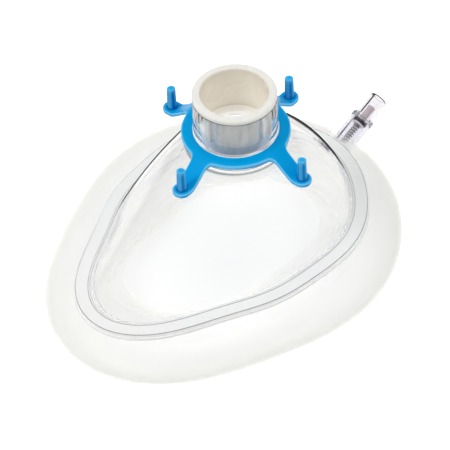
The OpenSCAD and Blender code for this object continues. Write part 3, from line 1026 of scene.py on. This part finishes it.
def plastic_output(g, colour, mottle, rough, scale, bump=0.04, specular=0.5, extra=None):
    """Opaque plastic: mottle varies its roughness, a 12 times finer noise its surface."""
    normal = g.bump(g.noise(scale * 12, detail=4.0), strength=bump, distance=0.0001)
    roughness = g.remap(mottle, (0.3, 0.7), (rough * 0.8, rough * 1.25), smooth=False)
    g.output(g.node("BsdfPrincipled", {
        "IOR": 1.5, "Specular IOR Level": specular, "Roughness": roughness,
        "Base Color": colour, "Normal": normal, **(extra or {})}).outputs[0])


def ivory_plastic():
    material, g = new_material("ivory_plastic")
    scale = 90
    mottle = g.noise(scale)
    # painted shade on the bore, the outside inside the neck, its grooves and band below the pads,
    # and the rim wall; painted light on the floor inside
    colour = painted_over(g, g.mix(mottle, (0.85, 0.842, 0.80), (0.88, 0.872, 0.835)), {
        "bore": (0.84, 0.795, 0.715),
        "inside_neck": (0.50, 0.50, 0.485),
        "groove": (0.40, 0.43, 0.455),
        "floor_in": (0.97, 0.965, 0.935),
        "rim_wall": (0.66, 0.645, 0.60)})
    # upright streaks of painted light and shade on the part inside the neck
    depth = 0.16
    streaks = g.remap(g.noise(420.0, stretch=(1, 1, 0.22)), (0.3, 0.7), (1 - depth, 1 + depth),
                      smooth=False)
    inside = g.painted("inside_neck")
    factor = g.node("Mix", {0: inside, 2: 1.0, 3: streaks}).outputs[0]
    streaked = g.node("VectorMath", {0: colour, "Scale": factor}, operation="SCALE").outputs[0]
    # painted light: the sides of the neck, seen at a slant, are made lighter
    slanted = g.math("MULTIPLY", inside, g.remap(g.facing(), (0.44, 0.66), (0.0, 1.0)))
    colour = g.mix(g.math("MULTIPLY", slanted, 0.8), streaked, (0.80, 0.82, 0.83))
    plastic_output(g, colour, mottle, rough=0.28, scale=scale,
                   extra=subsurface(0.25, (1.0, 0.85, 0.6)))
    return material


def studio_sheen(g):
    """Two soft bright bands that upright walls pick up from the studio."""
    normal = g.node("NewGeometry").outputs["Normal"]
    bands = []
    # degrees from the viewing direction, where the band starts and is full, strength
    for offset, start, full, amount in ((-24, 0.84, 0.995, 0.36), (56, 0.92, 0.99, 0.30)):
        a = math.radians(VIEW_TURN - 90 + offset)
        match = g.node("VectorMath", {0: normal, 1: (math.cos(a), math.sin(a), 0)},
                       operation="DOT_PRODUCT").outputs["Value"]
        bands.append(g.remap(match, (start, full), (0.0, amount)))
    return g.math("MAXIMUM", *bands)


def blue_plastic():
    material, g = new_material("blue_plastic")
    scale = 90
    mottle = g.noise(scale)
    colour = g.mix(mottle, (0.0, 0.36, 0.78), (0.0, 0.39, 0.82))
    # painted shade on upright walls
    normal = g.node("NewGeometry").outputs["Normal"]
    flatness = g.math("ABSOLUTE", g.node("SeparateXYZ", {0: normal}).outputs["Z"])
    colour = g.mix(g.remap(flatness, (0.2, 0.75), (1.0, 0.0)), colour, (0.0, 0.20, 0.55))
    # painted light towards the silhouette
    colour = g.mix(g.remap(g.facing(), (0.55, 0.9), (0.0, 0.8)), colour, (0.08, 0.46, 0.84))
    colour = g.mix(studio_sheen(g), colour, (0.16, 0.64, 0.88))
    # painted contact shadow round the pegs' feet and painted highlight along the edges
    colour = painted_over(g, colour, {"foot": (0.0, 0.12, 0.38), "rim": (0.16, 0.60, 0.92)})
    plastic_output(g, colour, mottle, rough=0.17, scale=scale, specular=0.06,
                   extra=subsurface(0.1, (0.1, 0.5, 1.0)))
    return material


def grey_plastic():
    material, g = new_material("grey_plastic")
    mottle = g.noise(300)
    colour = g.mix(mottle, (0.50, 0.41, 0.43), (0.58, 0.48, 0.50))
    colour = painted_over(g, colour, {"low": (0.66, 0.64, 0.70)})
    plastic_output(g, colour, mottle, rough=0.35, scale=300)
    return material


def black_rubber():
    material, g = new_material("black_rubber")
    mottle = g.noise(300)
    colour = g.mix(mottle, (0.004, 0.004, 0.006), (0.008, 0.008, 0.011))
    plastic_output(g, colour, mottle, rough=0.6, scale=300, bump=0.1)
    return material


def spring_steel():
    material, g = new_material("spring_steel")
    grain = g.noise(900)
    colour = g.mix(grain, (0.16, 0.145, 0.12), (0.30, 0.27, 0.23))
    g.output(g.shader("BsdfPrincipled", Metallic=1.0, Roughness=0.35,
                      Normal=g.bump(grain, strength=0.15, distance=0.00005),
                      **{"Base Color": colour}))
    return material


MATERIALS = {
    "dome_moulding": clear_dome(),
    "connector_socket": ivory_plastic(),
    "harness_ring": blue_plastic(),
    "air_cushion": milky_film(),
    "valve_housing": clear_valve(
        "clear_valve", tint=(0.92, 0.91, 0.965), painted_dark_line_tint=(0.03, 0.027, 0.06), edge_from=0.80,
        outline_range=(0.72, 0.90), outline_amount=0.50, outline_tint=(0.26, 0.25, 0.42)),
    "valve_luer": clear_valve(
        "clear_luer", tint=(0.955, 0.945, 0.975), painted_dark_line_tint=(0.02, 0.018, 0.04), edge_from=0.85,
        outline_range=(0.80, 0.95), outline_amount=0.40, outline_tint=(0.16, 0.15, 0.22)),
    "stem_plunger": grey_plastic(),
    "stem_seal": black_rubber(),
    "return_spring": spring_steel(),
}
for piece_name, piece_material in MATERIALS.items():
    slots = bpy.data.objects[piece_name].data.materials
    slots.clear()
    slots.append(piece_material)


# ------------------------------------------------------------------ floor
def pale_floor():
    """White sheet to the eye; what the clear parts pick up from further out is darker."""
    material, g = new_material("pale_floor")
    ray = g.node("LightPath").outputs
    colour = g.mix(g.noise(6.0), (0.93, 0.93, 0.93), (0.95, 0.95, 0.95))
    distance = g.node("VectorMath", {0: g.node("TexCoord").outputs["Object"]},
                      operation="LENGTH").outputs["Value"]
    seen = g.math("MAXIMUM", ray["Is Camera Ray"], ray["Is Diffuse Ray"])
    near = g.mix(seen, (0.76, 0.755, 0.745), colour)
    far_dark = g.remap(distance, (0.16, 0.5), (0.0, 0.88))
    dark = g.math("MULTIPLY", g.math("SUBTRACT", 1.0, seen), far_dark)
    colour = g.mix(dark, near, (0.45, 0.45, 0.455))
    # to the eye the sheet stays pale as it runs away from the lamps
    far_pale = g.remap(distance, (0.22, 0.8), (0.0, 0.58))
    glow = g.math("MULTIPLY_ADD", far_pale, ray["Is Camera Ray"], 0.42)
    g.output(g.node("BsdfPrincipled", {
        "Roughness": 0.7, "Specular IOR Level": 0.2, "Base Color": colour,
        "Emission Color": colour, "Emission Strength": glow}).outputs[0])
    return material


def build_floor():
    mesh = bpy.data.meshes.new("floor")
    bm = bmesh.new()
    bmesh.ops.create_grid(bm, x_segments=8, y_segments=8, size=1.6)
    bm.to_mesh(mesh)
    bm.free()
    floor = bpy.data.objects.new("floor", mesh)
    floor.location = (0, 0, -0.00005)
    scene.collection.objects.link(floor)
    mesh.materials.append(pale_floor())


# ------------------------------------------------------------------ world
def grey(value):
    return (value, value, value)


def build_world():
    """White to the eye, a grey studio to reflections, a soft light from above to diffuse rays."""
    world = bpy.data.worlds.new("studio")
    scene.world = world
    g = Graph(world)
    direction = g.node("TexCoord").outputs["Generated"]
    up = g.node("SeparateXYZ", {0: direction}).outputs["Z"]
    height = g.math("MULTIPLY_ADD", up, 0.5, 0.5)       # 0 straight down, 1 straight up
    # slightly cool walls between the floor and ceiling of the studio
    walls = [(position, (v * 0.98, v, v * 1.02))
             for position, v in ((0.5, 0.42), (0.70, 0.36), (0.86, 0.30), (0.95, 0.75))]
    studio = g.ramp(height, [(0.0, grey(0.5)), *walls, (1.0, grey(0.95))])
    ambient = g.ramp(height, [(0.0, grey(0.2)), (0.5, grey(0.22)), (0.7, grey(0.55)),
                              (1.0, (0.95, 0.95, 0.94))])
    ray = g.node("LightPath").outputs
    lit = g.blend(ray["Is Diffuse Ray"], g.shader("Background", Color=studio, Strength=1.0),
                  g.shader("Background", Color=ambient, Strength=0.62))
    backdrop = g.shader("Background", Color=grey(0.97), Strength=1.0)
    g.output(g.blend(ray["Is Camera Ray"], lit, backdrop), "OutputWorld")


# ------------------------------------------------------------------ lamps and camera
CAM_TURN = math.radians(44.403)         # from -Y towards +X
CAM_TILT = math.radians(45.289)         # above the floor
CAM_ROLL = math.radians(-2.663)
CAM_DISTANCE = 1080.3
CAM_AIM_Z = 30.0                        # height on the Z axis the camera is set out from
CAM_SHIFT_X, CAM_SHIFT_Y = 4.382, 14.027    # moves the camera to its left and down
CAM_LENS, CAM_SENSOR = 258.49418, 36.0

view_back = np.array([math.sin(CAM_TURN) * math.cos(CAM_TILT),
                      -math.cos(CAM_TURN) * math.cos(CAM_TILT), math.sin(CAM_TILT)])
level_right = np.array([math.cos(CAM_TURN), math.sin(CAM_TURN), 0.0])


def build_lamps():
    """Soft lamps that light the mask without showing in reflections or through clear parts."""
    right = Vector(level_right)
    away = Vector((-math.sin(CAM_TURN), math.cos(CAM_TURN), 0))
    target = Vector((0, 0, 0.03))
    # name, metres to the camera's right, away from it and up, size in metres, power in watts
    for name, across, beyond, height, size, power in (
            ("key", -0.70, -0.18, 0.80, (0.40, 0.40), 3.5),
            ("top", 0.05, 0.1, 1.05, (0.6, 0.6), 1.7),
            ("fill", 0.6, -0.35, 0.6, (0.8, 0.8), 1.5),
            ("rim", 0.1, 0.8, 0.5, (0.9, 0.4), 0.9)):
        light = bpy.data.lights.new(name, "AREA")
        light.shape = "RECTANGLE"
        light.size, light.size_y = size
        light.energy = power
        lamp = bpy.data.objects.new(name, light)
        place = across * right + beyond * away + Vector((0, 0, height))
        lamp.location = place
        lamp.rotation_mode = "QUATERNION"
        lamp.rotation_quaternion = (place - target).to_track_quat("Z", "Y")
        lamp.visible_glossy = lamp.visible_transmission = False
        scene.collection.objects.link(lamp)


def build_camera():
    data = bpy.data.cameras.new("camera")
    camera = bpy.data.objects.new("camera", data)
    scene.collection.objects.link(camera)
    level_up = np.cross(view_back, level_right)
    right = math.cos(CAM_ROLL) * level_right + math.sin(CAM_ROLL) * level_up
    up = -math.sin(CAM_ROLL) * level_right + math.cos(CAM_ROLL) * level_up
    place = (np.array([0, 0, CAM_AIM_Z]) + view_back * CAM_DISTANCE
             - right * CAM_SHIFT_X - up * CAM_SHIFT_Y) * MM
    rows = [(right[i], up[i], view_back[i], place[i]) for i in range(3)]
    camera.matrix_world = Matrix((*rows, (0, 0, 0, 1)))
    data.sensor_width = CAM_SENSOR
    data.lens = CAM_LENS
    data.clip_start, data.clip_end = 0.05, 20.0
    scene.camera = camera


build_floor()
build_world()
build_lamps()
build_camera()

# ------------------------------------------------------------------ render settings
scene.view_settings.view_transform = "Standard"
scene.view_settings.look = "None"
scene.cycles.max_bounces = 20
scene.cycles.transmission_bounces = 16
scene.cycles.transparent_max_bounces = 24
scene.cycles.glossy_bounces = 6
scene.cycles.diffuse_bounces = 5
scene.cycles.caustics_reflective = False
scene.cycles.caustics_refractive = False
scene.cycles.use_denoising = True
